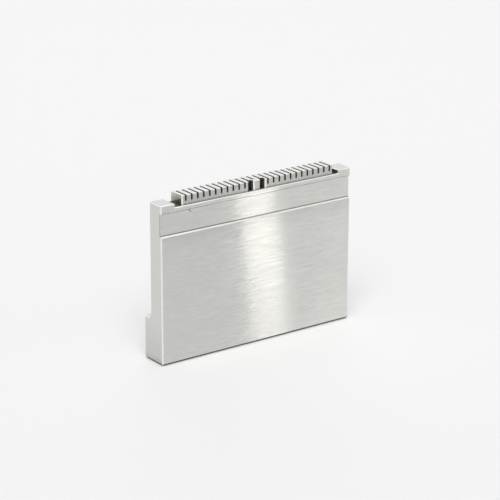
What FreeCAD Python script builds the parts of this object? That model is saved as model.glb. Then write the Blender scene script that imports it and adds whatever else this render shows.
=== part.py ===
"""A comb block machined from one piece of aluminium plate.

The plate stands on edge on a thicker foot. A shallow channel crosses the front
near the top. Above it, behind a narrow ledge and between two end lugs, stands a
comb of evenly pitched slots, with a locating key among its teeth.

Units are millimetres. X runs along the comb, -Y is the front and +Z is up. The
origin is the middle of the bottom face.
"""
import FreeCAD
import Part
import os

# Plate and foot
WIDTH = 82.5
PLATE_THICKNESS = 7.1
FOOT_DEPTH = 11.0
FOOT_HEIGHT = 16.0

# Levels above the bottom face
LEDGE_LEVEL = 56.8
LUG_HEIGHT = 1.4
COMB_HEIGHT = 3.5

# Channel across the front
CHANNEL_FLOOR = 47.1
CHANNEL_HEIGHT = 8.0
CHANNEL_DEPTH = 0.9

# Lugs and comb along X, measured from the left end
LUG_WIDTH = 5.7
COMB_START = 9.0
COMB_SETBACK = 0.5
END_WALL = 1.6

# Slots of the comb, counted from the left
SLOT_COUNT = 26
SLOT_PITCH = 2.5
SLOT_WIDTH = 0.75
SLOT_DEPTH = 2.25

# The key takes one slot's place, a little to its right, between two gaps
KEY_SLOT = 12
KEY_SHIFT = 0.3
KEY_GAP_WIDTH = 2.05
KEY_DEPTH = 1.8

# Chamfers and broken edges
BASE_CHAMFER = 0.7
CHANNEL_CHAMFER = 0.45
CHANNEL_BREAK = 0.2
CORNER_CHAMFER = 0.4
COMB_CHAMFER = 0.45
EDGE_BREAK = 0.3
TOOTH_BREAK = 0.15
HEEL_RADIUS = 0.8

# A nick that slants across the channel from its upper edge, START from the left end
NICK_START = 12.0
NICK_RUN = 1.1
NICK_WIDTH = 0.3
NICK_DEPTH = 0.2

LEFT = -WIDTH / 2
RIGHT = WIDTH / 2
FRONT = -FOOT_DEPTH / 2
HEEL = FOOT_DEPTH / 2
BACK = FRONT + PLATE_THICKNESS
CHANNEL_BACK = FRONT + CHANNEL_DEPTH
CHANNEL_TOP = CHANNEL_FLOOR + CHANNEL_HEIGHT
LUG_TOP = LEDGE_LEVEL + LUG_HEIGHT
COMB_TOP = LEDGE_LEVEL + COMB_HEIGHT
COMB_FRONT = FRONT + COMB_SETBACK
COMB_LEFT = LEFT + COMB_START
COMB_RIGHT = COMB_LEFT + 2 * END_WALL + (SLOT_COUNT - 1) * SLOT_PITCH
OVERSHOOT = 1.0

X = FreeCAD.Vector(1, 0, 0)
Y = FreeCAD.Vector(0, 1, 0)
Z = FreeCAD.Vector(0, 0, 1)


def block(x0, x1, y0, y1, z0, z1):
    """A box between opposite corners."""
    corner = FreeCAD.Vector(x0, y0, z0)
    return Part.makeBox(x1 - x0, y1 - y0, z1 - z0, corner)


def slot_centre(index):
    """Where a slot lies along X."""
    return COMB_LEFT + END_WALL + index * SLOT_PITCH


def side_outline():
    """The plate, foot and channel seen from the end, up to the ledge."""
    points = [
        (FRONT + BASE_CHAMFER, 0),
        (FRONT, BASE_CHAMFER),
        (FRONT, CHANNEL_FLOOR - CHANNEL_CHAMFER),
        (FRONT + CHANNEL_CHAMFER, CHANNEL_FLOOR),
        (CHANNEL_BACK, CHANNEL_FLOOR),
        (CHANNEL_BACK, CHANNEL_TOP),
        (FRONT, CHANNEL_TOP),
        (FRONT, LEDGE_LEVEL),
        (BACK, LEDGE_LEVEL),
        (BACK, FOOT_HEIGHT),
        (HEEL, FOOT_HEIGHT),
        (HEEL, BASE_CHAMFER),
        (HEEL - BASE_CHAMFER, 0),
    ]
    corners = [FreeCAD.Vector(LEFT, y, z) for y, z in points]
    return Part.Face(Part.makePolygon(corners + corners[:1]))


def plate_and_foot():
    """The side outline run the full width, with a radius where the foot meets the plate."""
    solid = side_outline().extrude(X * WIDTH)
    inner_corner = [edge for edge in solid.Edges if lies_along(edge, BACK, FOOT_HEIGHT)]
    return solid.makeFillet(HEEL_RADIUS, inner_corner)


def lies_along(edge, y, z):
    """Whether an edge runs along X at this place in the side outline."""
    ends = [vertex.Point for vertex in edge.Vertexes]
    return all(abs(end.y - y) < 1e-6 and abs(end.z - z) < 1e-6 for end in ends)


def lug(x0):
    """An end lug, flush with the plate's front and back."""
    return block(x0, x0 + LUG_WIDTH, FRONT, BACK, LEDGE_LEVEL, LUG_TOP)


def comb_bar():
    """The bar that the slots are cut in, set back behind the ledge."""
    return block(COMB_LEFT, COMB_RIGHT, COMB_FRONT, BACK, LEDGE_LEVEL, COMB_TOP)


def slot_cutter(index):
    """A slot with a full-radius bottom, open at the back and, beside the key, closed in front."""
    radius = SLOT_WIDTH / 2
    x = slot_centre(index)
    beside_key = abs(index - KEY_SLOT) <= 1
    y0 = COMB_FRONT + KEY_DEPTH if beside_key else COMB_FRONT - OVERSHOOT
    length = BACK + OVERSHOOT - y0
    bottom = COMB_TOP - SLOT_DEPTH + radius
    walls = block(x - radius, x + radius, y0, y0 + length, bottom, COMB_TOP + OVERSHOOT)
    floor = Part.makeCylinder(radius, length, FreeCAD.Vector(x, y0, bottom), Y)
    return walls.fuse(floor)


def gap_centre(side):
    """Where the gap on one side of the key lies along X; side is -1 or 1."""
    return slot_centre(KEY_SLOT) + KEY_SHIFT + side * SLOT_PITCH


def gap_cutter(side):
    """A gap beside the key, cut down to the ledge from the front."""
    x = gap_centre(side)
    half = KEY_GAP_WIDTH / 2
    y1 = COMB_FRONT + KEY_DEPTH
    return block(x - half, x + half, COMB_FRONT - OVERSHOOT, y1, LEDGE_LEVEL, COMB_TOP + OVERSHOOT)


def chamfer_cutter(corner, run, leg_a, leg_b):
    """A prism that takes off the edge at corner, from leg to leg, along run."""
    points = [
        corner + leg_a * 2 - leg_b,
        corner + leg_b * 2 - leg_a,
        corner - leg_a - leg_b,
    ]
    return Part.Face(Part.makePolygon(points + points[:1])).extrude(run)


def upright_cutters(x, inward, y, into, z0, z1, size):
    """The chamfer on one upright edge, between two levels."""
    corner = FreeCAD.Vector(x, y, z0)
    return chamfer_cutter(corner, Z * (z1 - z0), X * inward * size, Y * into * size)


def end_cutters(x, inward):
    """Chamfers round one end of the plate and foot."""
    top = COMB_TOP + OVERSHOOT
    base_corner = FreeCAD.Vector(x, FRONT - OVERSHOOT, 0)
    base_run = Y * (FOOT_DEPTH + 2 * OVERSHOOT)
    heel_corner = FreeCAD.Vector(x, BACK + HEEL_RADIUS, FOOT_HEIGHT)
    heel_run = Y * (HEEL - BACK)
    return [
        upright_cutters(x, inward, FRONT, 1, -OVERSHOOT, top, CORNER_CHAMFER),
        upright_cutters(x, inward, BACK, -1, FOOT_HEIGHT + HEEL_RADIUS, top, CORNER_CHAMFER),
        upright_cutters(x, inward, HEEL, -1, -OVERSHOOT, FOOT_HEIGHT + OVERSHOOT, CORNER_CHAMFER),
        chamfer_cutter(base_corner, base_run, X * inward * BASE_CHAMFER, Z * BASE_CHAMFER),
        chamfer_cutter(heel_corner, heel_run, X * inward * CORNER_CHAMFER, Z * -CORNER_CHAMFER),
    ]


def lug_cutters(x0):
    """Broken edges round the top of one lug."""
    across = X * (LUG_WIDTH + 2 * OVERSHOOT)
    along = Y * (PLATE_THICKNESS + 2 * OVERSHOOT)
    down = Z * -EDGE_BREAK
    start = x0 - OVERSHOOT
    near = FRONT - OVERSHOOT
    return [
        chamfer_cutter(FreeCAD.Vector(start, FRONT, LUG_TOP), across, Y * EDGE_BREAK, down),
        chamfer_cutter(FreeCAD.Vector(start, BACK, LUG_TOP), across, Y * -EDGE_BREAK, down),
        chamfer_cutter(FreeCAD.Vector(x0, near, LUG_TOP), along, X * EDGE_BREAK, down),
        chamfer_cutter(FreeCAD.Vector(x0 + LUG_WIDTH, near, LUG_TOP), along, X * -EDGE_BREAK, down),
    ]


def ledge_cutter():
    """The broken front edge of the ledge, from lug to lug."""
    x0 = LEFT + LUG_WIDTH
    corner = FreeCAD.Vector(x0, FRONT, LEDGE_LEVEL)
    run = X * (WIDTH - 2 * LUG_WIDTH)
    return chamfer_cutter(corner, run, Y * EDGE_BREAK, Z * -EDGE_BREAK)


def channel_cutters():
    """Broken edges along the channel's lip and at its two open ends."""
    lip = FreeCAD.Vector(LEFT, FRONT, CHANNEL_TOP)
    ends = [
        upright_cutters(x, inward, CHANNEL_BACK, 1, CHANNEL_FLOOR, CHANNEL_TOP, CHANNEL_BREAK)
        for x, inward in ((LEFT, 1), (RIGHT, -1))
    ]
    return ends + [chamfer_cutter(lip, X * WIDTH, Y * CHANNEL_BREAK, Z * CHANNEL_BREAK)]


def nick_cutter():
    """A V-shaped nick that slants down to the right from under the channel's lip."""
    aside = (X + Z) * NICK_WIDTH * 0.5 ** 0.5
    start = FreeCAD.Vector(LEFT + NICK_START, CHANNEL_BACK, CHANNEL_TOP) - Z * aside.z
    points = [
        start + aside - Y * NICK_DEPTH,
        start - aside - Y * NICK_DEPTH,
        start + Y * NICK_DEPTH,
    ]
    return Part.Face(Part.makePolygon(points + points[:1])).extrude((X - Z) * NICK_RUN)


def heel_cutter():
    """The broken top edge along the back of the foot."""
    corner = FreeCAD.Vector(LEFT - OVERSHOOT, HEEL, FOOT_HEIGHT)
    run = X * (WIDTH + 2 * OVERSHOOT)
    return chamfer_cutter(corner, run, Y * -CORNER_CHAMFER, Z * -CORNER_CHAMFER)


def comb_cutters():
    """Chamfers on the comb's upright edges and broken edges along its top."""
    half = KEY_GAP_WIDTH / 2
    edges = [(COMB_LEFT, 1), (COMB_RIGHT, -1)]
    for side in (-1, 1):
        edges += [(gap_centre(side) - half, -1), (gap_centre(side) + half, 1)]
    top = COMB_TOP + OVERSHOOT
    uprights = [
        upright_cutters(x, inward, COMB_FRONT, 1, LEDGE_LEVEL, top, COMB_CHAMFER)
        for x, inward in edges
    ]
    run = X * (COMB_RIGHT - COMB_LEFT + 2 * OVERSHOOT)
    start = COMB_LEFT - OVERSHOOT
    down = Z * -TOOTH_BREAK
    tops = [
        chamfer_cutter(FreeCAD.Vector(start, COMB_FRONT, COMB_TOP), run, Y * TOOTH_BREAK, down),
        chamfer_cutter(FreeCAD.Vector(start, BACK, COMB_TOP), run, Y * -TOOTH_BREAK, down),
    ]
    return uprights + tops


def comb_block():
    """The whole part as one solid."""
    slots = [slot_cutter(index) for index in range(SLOT_COUNT)]
    gaps = [gap_cutter(-1), gap_cutter(1)]
    comb = comb_bar().cut(slots + gaps + comb_cutters())
    body = plate_and_foot().fuse([lug(LEFT), lug(RIGHT - LUG_WIDTH)])
    breaks = end_cutters(LEFT, 1) + end_cutters(RIGHT, -1) + lug_cutters(LEFT)
    breaks += lug_cutters(RIGHT - LUG_WIDTH) + channel_cutters()
    breaks += [ledge_cutter(), heel_cutter(), nick_cutter()]
    return body.cut(breaks).fuse(comb).removeSplitter()


def main():
    os.makedirs("parts", exist_ok=True)
    shape = comb_block()
    solids = shape.Solids
    print("valid", shape.isValid(), "solids", len(solids), "volume", round(shape.Volume, 1))
    print("box", shape.BoundBox)
    solids[0].exportStep("parts/comb_block.step")


main()
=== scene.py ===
"""Machined comb block of brushed aluminium on a pale studio floor."""
import bpy
import math
from mathutils import Matrix, Vector

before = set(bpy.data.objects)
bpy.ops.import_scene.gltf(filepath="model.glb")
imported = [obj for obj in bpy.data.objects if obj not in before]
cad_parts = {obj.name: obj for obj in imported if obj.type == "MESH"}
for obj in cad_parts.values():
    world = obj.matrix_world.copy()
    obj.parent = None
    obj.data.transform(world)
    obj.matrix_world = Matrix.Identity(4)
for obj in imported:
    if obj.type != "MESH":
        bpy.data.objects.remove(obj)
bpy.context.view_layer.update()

MM = 0.001

# Camera
CAMERA_AZIMUTH = math.radians(-36.32)
CAMERA_ELEVATION = math.radians(18.494)
CAMERA_ROLL = math.radians(0.183)
CAMERA_LENS = 138.48
CAMERA_DISTANCE = 686.17 * MM
CAMERA_TARGET = Vector((0.74, 0.64, 32.86)) * MM

# Studio
FLOOR_SIZE = 6.0
FLOOR_TONE = (0.915, 0.915, 0.915, 1)
FLOOR_ROUGHNESS = 0.6
WORLD_LIGHT = 0.45
WORLD_SEEN = 1.0
WHITE = (1, 1, 1, 1)
PLAIN_LIGHT = (1, 1, 1)
WARM_LIGHT = (1.0, 0.96, 0.91)

# Places on the block in millimetres, as its source has them
COMB_FACE = -5.0
CHANNEL_FACE = -4.6
BACK_FACE = 1.6
CHANNEL_FLOOR = 47.1
CHANNEL_LIP = 55.1
LEDGE = 56.8
COMB_TOP = 60.3
LUG_INSIDE = 35.55
COMB_END = 32.0

# Margins in millimetres, which take a face in or leave it out
SKIN = 0.02
COMB_SKIN = 0.03
LEDGE_SKIN = 0.05
CORNER_BELOW = 0.04
CORNER_BEHIND = 0.1

# Widths of the painted shade lines in millimetres
CORNER_LINE = 0.3
LIP_LINE = 0.25
BASE_LINE = 1.0

# How far a face's direction goes along an axis, from 0 to 1
SQUARE = 0.9
SLANTED = 0.3
LEAST_SQUARE = 0.93

# Colours
ALUMINIUM = (0.567, 0.57, 0.55, 1)
# A lighter colour on the chamfers: a painted highlight along the edges.
EDGE_PAINTED_HIGHLIGHT = (0.82, 0.82, 0.8, 1)
# Painted shade in the channel's corners and under its lip.
CHANNEL_PAINTED_SHADE = (0.2, 0.18, 0.155, 1)
SHADED = (0.2, 0.18, 0.15, 1)
# Painted shadow on the bottom chamfer.
UNDERSIDE_PAINTED_SHADOW = (0.06, 0.057, 0.052, 1)
CHANNEL_SHADE_SHARE = 0.62

# Brushing streaks: width and length in millimetres, and a turn in degrees
LONG_STREAKS = {"across": 0.8, "length": 12.0, "axis": "x", "turn": 1.5}
FINE_STREAKS = {"across": 0.45, "length": 4.5, "axis": "x", "turn": -2.0}
UPRIGHT_STREAKS = {"across": 0.4, "length": 8.0, "axis": "z", "turn": 0.5}
CLOUDS = {"across": 18.0, "length": 18.0, "axis": "x"}
GRAIN_DETAIL = 2.5
GRAIN_BREAKUP = 0.6

# How much lighter or darker the brushing makes the metal
STREAK_TONE = 0.1
FINE_TONE = 0.26
CLOUD_TONE = 0.08

# Light and dark from place to place, mostly painted light and shade, with the heights in
# millimetres over which they fade
BELOW_CHANNEL_HEIGHT = 8
BELOW_CHANNEL_PAINTED_SHADE = 0.08
TOOTH_FOOT_HEIGHT = 0.9
TOOTH_FOOT_PAINTED_SHADE = 0.4
TOOTH_FRONT_TONE = 0.84
TOOTH_TOP_PAINTED_LIGHT = 0.2
END_LIGHT_HEIGHT = 18
END_PAINTED_LIGHT = 0.17
END_FOOT_HEIGHT = 3.5
END_FOOT_PAINTED_SHADE = 0.2

# Steps in which the comb's end face grows lighter with height and depth: from, to, by how much
COMB_END_STEPS = ((1.2, 3.4, 0.55), (4.0, 6.2, 0.35))
DEPTH_SHARE = 0.45

# Finish
SMOOTHNESS = 0.165
STREAK_ROUGHNESS = 0.16
SHADE_ROUGHNESS = 0.25
TOOTH_ROUGHNESS = 0.12
STREAK_HEIGHT = 0.006 * MM
LEAN_LOW = 0.2
LEAN_HIGH = 0.07
RIDGE_WAVER = 0.022
LONG_SHARE = 0.5


def add_camera():
    """A long lens, in front of the block, to its left and above it."""
    flat = math.cos(CAMERA_ELEVATION)
    back = Vector((
        math.sin(CAMERA_AZIMUTH) * flat,
        -math.cos(CAMERA_AZIMUTH) * flat,
        math.sin(CAMERA_ELEVATION),
    ))
    data = bpy.data.cameras.new("studio_camera")
    data.lens = CAMERA_LENS
    data.clip_start = 0.01
    data.clip_end = 20
    camera = bpy.data.objects.new("studio_camera", data)
    bpy.context.scene.collection.objects.link(camera)
    roll = Matrix.Rotation(CAMERA_ROLL, 4, "Z")
    place = Matrix.Translation(CAMERA_TARGET + back * CAMERA_DISTANCE)
    camera.matrix_world = place @ facing(back) @ roll
    bpy.context.scene.camera = camera


def facing(back):
    """The turn of a camera or lamp whose back points this way."""
    return back.to_track_quat("Z", "Y").to_matrix().to_4x4()


def add_lamp(name, kind, brightness, colour):
    """A lamp of one kind, still at the origin."""
    data = bpy.data.lights.new(name, kind)
    data.color = colour
    data.energy = brightness * math.pi
    lamp = bpy.data.objects.new(name, data)
    bpy.context.scene.collection.objects.link(lamp)
    return lamp


def add_panel(name, place, aim, width, height, brightness, colour=PLAIN_LIGHT, spread=180):
    """A flat studio lamp at place, facing aim; brightness 1 looks white."""
    lamp = add_lamp(name, "AREA", brightness * width * height, colour)
    lamp.data.shape = "RECTANGLE"
    lamp.data.size = width
    lamp.data.size_y = height
    lamp.data.spread = math.radians(spread)
    back = (Vector(place) - Vector(aim)).normalized()
    lamp.matrix_world = Matrix.Translation(place) @ facing(back)


def add_even_light(name, direction, brightness, softness):
    """Light from one side of the sky, the same all over the floor."""
    lamp = add_lamp(name, "SUN", brightness, PLAIN_LIGHT)
    lamp.data.angle = math.radians(softness)
    lamp.matrix_world = facing(Vector(direction))


def add_soft_lamps():
    """The lamps that light the whole studio."""
    add_even_light("front_light", direction=(-0.38, -0.52, 0.77), brightness=0.5, softness=40)
    add_panel(
        "ceiling_panel",
        place=(0, 0.1, 1.1),
        aim=(0, 0, 0),
        width=1.4,
        height=1.4,
        brightness=0.4,
    )
    add_panel(
        "back_panel",
        place=(0.71, 0.97, 0.4),
        aim=(0, 0, 0.05),
        width=1.2,
        height=0.6,
        brightness=0.18,
    )


def add_brushing_lamps():
    """The lamps that the brushed front shows as a bright band, a glow and a paler right side."""
    add_panel(
        "strip_lamp",
        place=(0.1725, -0.252, 0.012),
        aim=(0.002, -0.0055, 0.03),
        width=0.0185,
        height=0.02,
        brightness=0.35,
        colour=WARM_LIGHT,
        spread=60,
    )
    add_panel(
        "glow_lamp",
        place=(0.9, -1.0, 0.06),
        aim=(0.046, -0.0055, -0.005),
        width=0.14,
        height=0.04,
        brightness=0.01,
        colour=WARM_LIGHT,
        spread=6,
    )
    add_panel(
        "right_panel",
        place=(1.06, -1.0, 0.3),
        aim=(0, 0, 0.03),
        width=0.55,
        height=0.6,
        brightness=0.55,
        colour=WARM_LIGHT,
    )


def new_tree(block):
    """An emptied node tree."""
    block.use_nodes = True
    tree = block.node_tree
    tree.nodes.clear()
    return tree


def node(tree, kind, **values):
    """A new node with its named sockets set."""
    made = tree.nodes.new(kind)
    for name, value in values.items():
        made.inputs[name.replace("_", " ")].default_value = value
    return made


def maths(tree, operation, *values):
    """A Math node on sockets or numbers; gives its result socket."""
    made = tree.nodes.new("ShaderNodeMath")
    made.operation = operation
    for socket, value in zip(made.inputs, values):
        if isinstance(value, (int, float)):
            socket.default_value = value
        else:
            tree.links.new(value, socket)
    return made.outputs[0]


def vector_maths(tree, operation, vector):
    """A VectorMath node on one vector, with its other sockets still to set."""
    made = tree.nodes.new("ShaderNodeVectorMath")
    made.operation = operation
    tree.links.new(vector, made.inputs[0])
    return made


def both(tree, *masks):
    """Where all the masks hold."""
    product = masks[0]
    for mask in masks[1:]:
        product = maths(tree, "MULTIPLY", product, mask)
    return product


def either(tree, *masks):
    """Where any of the masks holds."""
    most = masks[0]
    for mask in masks[1:]:
        most = maths(tree, "MAXIMUM", most, mask)
    return most


def outside(tree, mask):
    """Where a mask doesn't hold."""
    return maths(tree, "SUBTRACT", 1, mask)


def over(tree, value, limit):
    """1 where a value is over a limit, and 0 elsewhere."""
    return maths(tree, "GREATER_THAN", value, limit)


def under(tree, value, limit):
    """1 where a value is under a limit, and 0 elsewhere."""
    return maths(tree, "LESS_THAN", value, limit)


def between(tree, value, low, high):
    """1 where a value lies between two numbers, and 0 elsewhere."""
    return both(tree, over(tree, value, low), under(tree, value, high))


def with_part(tree, total, value, share):
    """A total with a share of a value added."""
    return maths(tree, "ADD", total, maths(tree, "MULTIPLY", value, share))


def rising(tree, value, low, high, bottom=0.0, top=1.0):
    """A smooth rise from bottom to top as a value goes from low to high."""
    made = node(tree, "ShaderNodeMapRange", From_Min=low, From_Max=high, To_Min=bottom, To_Max=top)
    made.interpolation_type = "SMOOTHSTEP"
    tree.links.new(value, made.inputs["Value"])
    return made.outputs[0]


def blended(tree, mask, first, second):
    """The second colour where the mask is 1, and the first where it is 0."""
    made = tree.nodes.new("ShaderNodeMix")
    made.data_type = "RGBA"
    tree.links.new(mask, made.inputs[0])
    for socket, value in ((made.inputs[6], first), (made.inputs[7], second)):
        if isinstance(value, tuple):
            socket.default_value = value
        else:
            tree.links.new(value, socket)
    return made.outputs[2]


def surface_of(tree):
    """Where a point lies on the block, in millimetres, and which way its face points.

    x, y and z hold the place, nx, ny and nz the direction, and ax, ay and az its size along
    each axis.
    """
    coordinates = node(tree, "ShaderNodeTexCoord")
    place = vector_maths(tree, "SCALE", coordinates.outputs["Object"])
    place.inputs["Scale"].default_value = 1 / MM
    at = node(tree, "ShaderNodeSeparateXYZ")
    tree.links.new(place.outputs[0], at.inputs[0])
    direction = node(tree, "ShaderNodeSeparateXYZ")
    tree.links.new(coordinates.outputs["Normal"], direction.inputs[0])
    surface = {"place": place.outputs[0], "normal": coordinates.outputs["Normal"]}
    for axis, socket, normal in zip("xyz", at.outputs, direction.outputs):
        surface[axis] = socket
        surface["n" + axis] = normal
        surface["a" + axis] = maths(tree, "ABSOLUTE", normal)
    return surface


def grain(tree, surface, across, length, axis, turn=0.0):
    """Streaks along one axis, turned a few degrees, about 0 on average; sizes in millimetres."""
    sizes = [across] * 3
    sizes["xyz".index(axis)] = length
    mapping = node(tree, "ShaderNodeMapping", Scale=sizes, Rotation=(0, math.radians(turn), 0))
    mapping.vector_type = "TEXTURE"
    noise = node(tree, "ShaderNodeTexNoise", Scale=1, Detail=GRAIN_DETAIL, Roughness=GRAIN_BREAKUP)
    tree.links.new(surface["place"], mapping.inputs["Vector"])
    tree.links.new(mapping.outputs[0], noise.inputs["Vector"])
    return maths(tree, "SUBTRACT", noise.outputs[0], 0.5)


def set_world():
    """Dim even light all round, and a white studio where the lens or the metal looks past it."""
    world = bpy.data.worlds.new("studio")
    bpy.context.scene.world = world
    tree = new_tree(world)
    out = node(tree, "ShaderNodeOutputWorld")
    light = node(tree, "ShaderNodeBackground", Color=WHITE, Strength=WORLD_LIGHT)
    seen = node(tree, "ShaderNodeBackground", Color=WHITE, Strength=WORLD_SEEN)
    path = node(tree, "ShaderNodeLightPath")
    mix = node(tree, "ShaderNodeMixShader")
    direct = either(tree, path.outputs["Is Camera Ray"], path.outputs["Is Glossy Ray"])
    tree.links.new(direct, mix.inputs[0])
    tree.links.new(light.outputs[0], mix.inputs[1])
    tree.links.new(seen.outputs[0], mix.inputs[2])
    tree.links.new(mix.outputs[0], out.inputs[0])


def pale_floor():
    """A plain pale matt finish."""
    material = bpy.data.materials.new("pale_floor")
    tree = new_tree(material)
    out = node(tree, "ShaderNodeOutputMaterial")
    shader = node(
        tree,
        "ShaderNodeBsdfPrincipled",
        Base_Color=FLOOR_TONE,
        Roughness=FLOOR_ROUGHNESS,
    )
    tree.links.new(shader.outputs[0], out.inputs[0])
    return material


def add_floor():
    """The floor that the block stands on."""
    bpy.ops.object.select_all(action="DESELECT")
    bpy.ops.mesh.primitive_plane_add(size=FLOOR_SIZE, location=(0, 0, 0))
    floor = bpy.context.object
    floor.name = "floor"
    floor.data.materials.append(pale_floor())


def faces_of(tree, surface):
    """Masks for the block's kinds of face."""
    broad = over(tree, surface["ay"], SQUARE)
    ends = over(tree, surface["ax"], SQUARE)
    tooth_fronts = both(
        tree,
        broad,
        between(tree, surface["z"], LEDGE, COMB_TOP),
        between(tree, surface["x"], -LUG_INSIDE, LUG_INSIDE),
    )
    tooth_tops = both(
        tree,
        over(tree, surface["nz"], SQUARE),
        over(tree, surface["z"], COMB_TOP - SKIN),
    )
    upright = either(tree, ends, tooth_fronts)
    return {
        "broad": broad,
        "ends": ends,
        "tooth_fronts": tooth_fronts,
        "tooth_tops": tooth_tops,
        "brushed_upright": upright,
        "brushed_level": outside(tree, upright),
    }


def edge_mask(tree, surface):
    """The chamfers and broken edges: faces square to no axis."""
    squarest = either(tree, surface["ax"], surface["ay"], surface["az"])
    return under(tree, squarest, LEAST_SQUARE)


def comb_mask(tree, surface):
    """The slots, the key's gaps and the notches, apart from the comb's front, back and top."""
    return both(
        tree,
        between(tree, surface["z"], LEDGE - LEDGE_SKIN, COMB_TOP - SKIN),
        between(tree, surface["y"], COMB_FACE + COMB_SKIN, BACK_FACE - SKIN),
        between(tree, surface["x"], -LUG_INSIDE - COMB_SKIN, LUG_INSIDE + COMB_SKIN),
        outside(tree, between(tree, surface["ay"], SLANTED, SQUARE)),
    )


def comb_shade(tree, surface):
    """How dark the comb's recesses are: its left end face is dark only low down in front."""
    height = maths(tree, "SUBTRACT", surface["z"], LEDGE)
    depth = maths(tree, "SUBTRACT", surface["y"], COMB_FACE)
    away = with_part(tree, height, depth, DEPTH_SHARE)
    steps = [rising(tree, away, low, high, top=lighter) for low, high, lighter in COMB_END_STEPS]
    light = maths(tree, "ADD", *steps)
    end_face = both(tree, under(tree, surface["x"], -COMB_END), over(tree, surface["ax"], SQUARE))
    return both(tree, comb_mask(tree, surface), outside(tree, both(tree, end_face, light)))


def corner_line(tree, surface):
    """The painted shade line along the channel's lower corner."""
    return both(
        tree,
        between(tree, surface["y"], CHANNEL_FACE - CORNER_LINE, CHANNEL_FACE + CORNER_BEHIND),
        between(tree, surface["z"], CHANNEL_FLOOR - CORNER_BELOW, CHANNEL_FLOOR + CORNER_LINE),
        under(tree, surface["ax"], SQUARE),
    )


def lip_line(tree, surface):
    """Painted shade on the channel's upper wall and the broken edge of its lip."""
    return both(
        tree,
        between(tree, surface["z"], CHANNEL_LIP - SKIN, CHANNEL_LIP + LIP_LINE),
        under(tree, surface["nz"], -SLANTED),
    )


def channel_ends(tree, surface):
    """Painted shade on the broken edges at the channel's two open ends, and on the nick."""
    return both(
        tree,
        between(tree, surface["z"], CHANNEL_FLOOR, CHANNEL_LIP),
        between(tree, surface["y"], CHANNEL_FACE - SKIN, CHANNEL_FACE + LIP_LINE),
        between(tree, surface["ay"], SLANTED, SQUARE),
    )


def channel_mask(tree, surface):
    """How much painted shade the channel's corners get."""
    edges = either(tree, corner_line(tree, surface), channel_ends(tree, surface))
    fainter = maths(tree, "MULTIPLY", edges, CHANNEL_SHADE_SHARE)
    return either(tree, fainter, lip_line(tree, surface))


def base_mask(tree, surface):
    """The chamfer round the bottom, darkened with a painted shadow."""
    return both(tree, under(tree, surface["nz"], -SLANTED), under(tree, surface["z"], BASE_LINE))


def metal_colour(tree, surface, shade):
    """Plain aluminium, with a painted highlight on its chamfers, painted shade in its corners and
    recesses, and a painted shadow on the bottom chamfer.
    """
    # Painted highlight on the chamfers.
    colour = blended(tree, edge_mask(tree, surface), ALUMINIUM, EDGE_PAINTED_HIGHLIGHT)
    # Painted shade in the channel's corners.
    colour = blended(tree, channel_mask(tree, surface), colour, CHANNEL_PAINTED_SHADE)
    # Painted shadow on the bottom chamfer.
    colour = blended(tree, base_mask(tree, surface), colour, UNDERSIDE_PAINTED_SHADOW)
    return blended(tree, shade, colour, SHADED)


def streaks_of(tree, surface, faces):
    """The brushing: level on most faces, and upright on the ends and the teeth."""
    long_streaks = grain(tree, surface, **LONG_STREAKS)
    upright_streaks = grain(tree, surface, **UPRIGHT_STREAKS)
    level_part = both(tree, long_streaks, faces["brushed_level"])
    upright_part = both(tree, upright_streaks, faces["brushed_upright"])
    return {
        "long": long_streaks,
        "fine": grain(tree, surface, **FINE_STREAKS),
        "each_way": maths(tree, "ADD", level_part, upright_part),
    }


def plate_tone(tree, surface, faces, streaks):
    """The streaks' light and dark, with a little painted shade at the height just under the
    channel.
    """
    tone = maths(tree, "ADD", 1.0, maths(tree, "MULTIPLY", streaks["each_way"], STREAK_TONE))
    tone = with_part(tree, tone, streaks["fine"], FINE_TONE)
    tone = with_part(tree, tone, grain(tree, surface, **CLOUDS), CLOUD_TONE)
    # Painted shade just under the channel, on the broad faces.
    plate = both(tree, faces["broad"], under(tree, surface["z"], CHANNEL_FLOOR))
    near = rising(
        tree,
        surface["z"],
        CHANNEL_FLOOR - BELOW_CHANNEL_HEIGHT,
        CHANNEL_FLOOR,
        top=BELOW_CHANNEL_PAINTED_SHADE,
    )
    return maths(tree, "SUBTRACT", tone, both(tree, plate, near))


def tooth_foot_tone(tree, surface, faces):
    """The teeth's fronts are darker, with painted shade most of all at their foot."""
    # Painted shade at the teeth's foot, where they meet the ledge.
    foot = rising(
        tree,
        surface["z"],
        LEDGE,
        LEDGE + TOOTH_FOOT_HEIGHT,
        bottom=TOOTH_FOOT_PAINTED_SHADE,
        top=TOOTH_FRONT_TONE,
    )
    fronts = both(tree, foot, faces["tooth_fronts"])
    return maths(tree, "ADD", fronts, outside(tree, faces["tooth_fronts"]))


def end_tone(tree, surface):
    """Painted light makes the ends lighter up to a third of their height, and painted shade makes
    them darkest at the floor.
    """
    lighter = rising(tree, surface["z"], 0, END_LIGHT_HEIGHT, top=END_PAINTED_LIGHT)
    darker = rising(tree, surface["z"], 0, END_FOOT_HEIGHT, bottom=END_FOOT_PAINTED_SHADE, top=0.0)
    return maths(tree, "SUBTRACT", lighter, darker)


def metal_tone(tree, surface, faces, streaks):
    """How light or dark each place is beside the metal's plain colour, with painted light and
    shade.
    """
    plate = plate_tone(tree, surface, faces, streaks)
    tone = maths(tree, "MULTIPLY", plate, tooth_foot_tone(tree, surface, faces))
    # Painted light and shade on the ends.
    tone = with_part(tree, tone, faces["ends"], end_tone(tree, surface))
    # Painted light on the teeth's tops.
    return with_part(tree, tone, faces["tooth_tops"], TOOTH_TOP_PAINTED_LIGHT)


def metal_roughness(tree, faces, streaks, shade):
    """Smooth along the brushing, rougher in the recesses and on the teeth."""
    roughness = with_part(tree, SMOOTHNESS, streaks["each_way"], STREAK_ROUGHNESS)
    roughness = with_part(tree, roughness, shade, SHADE_ROUGHNESS)
    return with_part(tree, roughness, faces["tooth_fronts"], TOOTH_ROUGHNESS)


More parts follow.
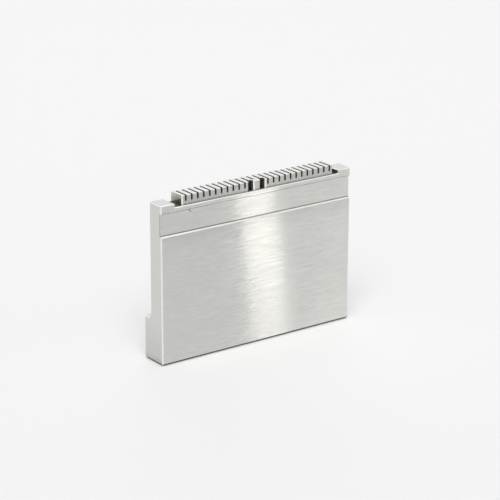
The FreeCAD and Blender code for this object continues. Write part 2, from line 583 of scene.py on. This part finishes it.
def leaning_normal(tree, surface, faces, streaks):
    """The broad faces' fine ridges lean a little upwards, most of all low down, and waver."""
    plain = both(tree, faces["broad"], outside(tree, faces["tooth_fronts"]))
    rise = (LEAN_HIGH - LEAN_LOW) / COMB_TOP
    slope = maths(tree, "MULTIPLY_ADD", surface["z"], rise, LEAN_LOW)
    ridges = with_part(tree, streaks["fine"], streaks["long"], LONG_SHARE)
    waver = maths(tree, "MULTIPLY", both(tree, ridges, faces["brushed_level"]), RIDGE_WAVER)
    lean = node(tree, "ShaderNodeCombineXYZ")
    tree.links.new(both(tree, plain, waver), lean.inputs["X"])
    tree.links.new(both(tree, plain, slope), lean.inputs["Z"])
    total = vector_maths(tree, "ADD", surface["normal"])
    tree.links.new(lean.outputs[0], total.inputs[1])
    return vector_maths(tree, "NORMALIZE", total.outputs[0]).outputs[0]


def metal_normal(tree, surface, faces, streaks):
    """The lean of the broad faces, and the streaks' relief on all the others."""
    bump = node(tree, "ShaderNodeBump", Strength=1, Distance=STREAK_HEIGHT)
    relief = both(tree, streaks["each_way"], outside(tree, faces["broad"]))
    tree.links.new(relief, bump.inputs["Height"])
    tree.links.new(leaning_normal(tree, surface, faces, streaks), bump.inputs["Normal"])
    return bump.outputs[0]


def spread_direction(tree, faces):
    """The way that the brushing spreads light: upright on broad faces, else front to back."""
    spread = node(tree, "ShaderNodeCombineXYZ")
    tree.links.new(outside(tree, faces["broad"]), spread.inputs["Y"])
    tree.links.new(faces["broad"], spread.inputs["Z"])
    return spread.outputs[0]


def brushed_aluminium():
    """Machined aluminium with a brushed finish."""
    material = bpy.data.materials.new("brushed_aluminium")
    tree = new_tree(material)
    surface = surface_of(tree)
    faces = faces_of(tree, surface)
    streaks = streaks_of(tree, surface, faces)
    shade = comb_shade(tree, surface)
    colour = vector_maths(tree, "SCALE", metal_colour(tree, surface, shade))
    tree.links.new(metal_tone(tree, surface, faces, streaks), colour.inputs["Scale"])
    shader = node(tree, "ShaderNodeBsdfPrincipled", Metallic=1, Anisotropic=1.0)
    tree.links.new(colour.outputs[0], shader.inputs["Base Color"])
    tree.links.new(metal_roughness(tree, faces, streaks, shade), shader.inputs["Roughness"])
    tree.links.new(metal_normal(tree, surface, faces, streaks), shader.inputs["Normal"])
    tree.links.new(spread_direction(tree, faces), shader.inputs["Tangent"])
    out = node(tree, "ShaderNodeOutputMaterial")
    tree.links.new(shader.outputs[0], out.inputs[0])
    return material


add_camera()
add_floor()
set_world()
add_soft_lamps()
add_brushing_lamps()
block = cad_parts["comb_block"]
block.material_slots[0].material = brushed_aluminium()
bpy.context.scene.view_settings.view_transform = "Standard"
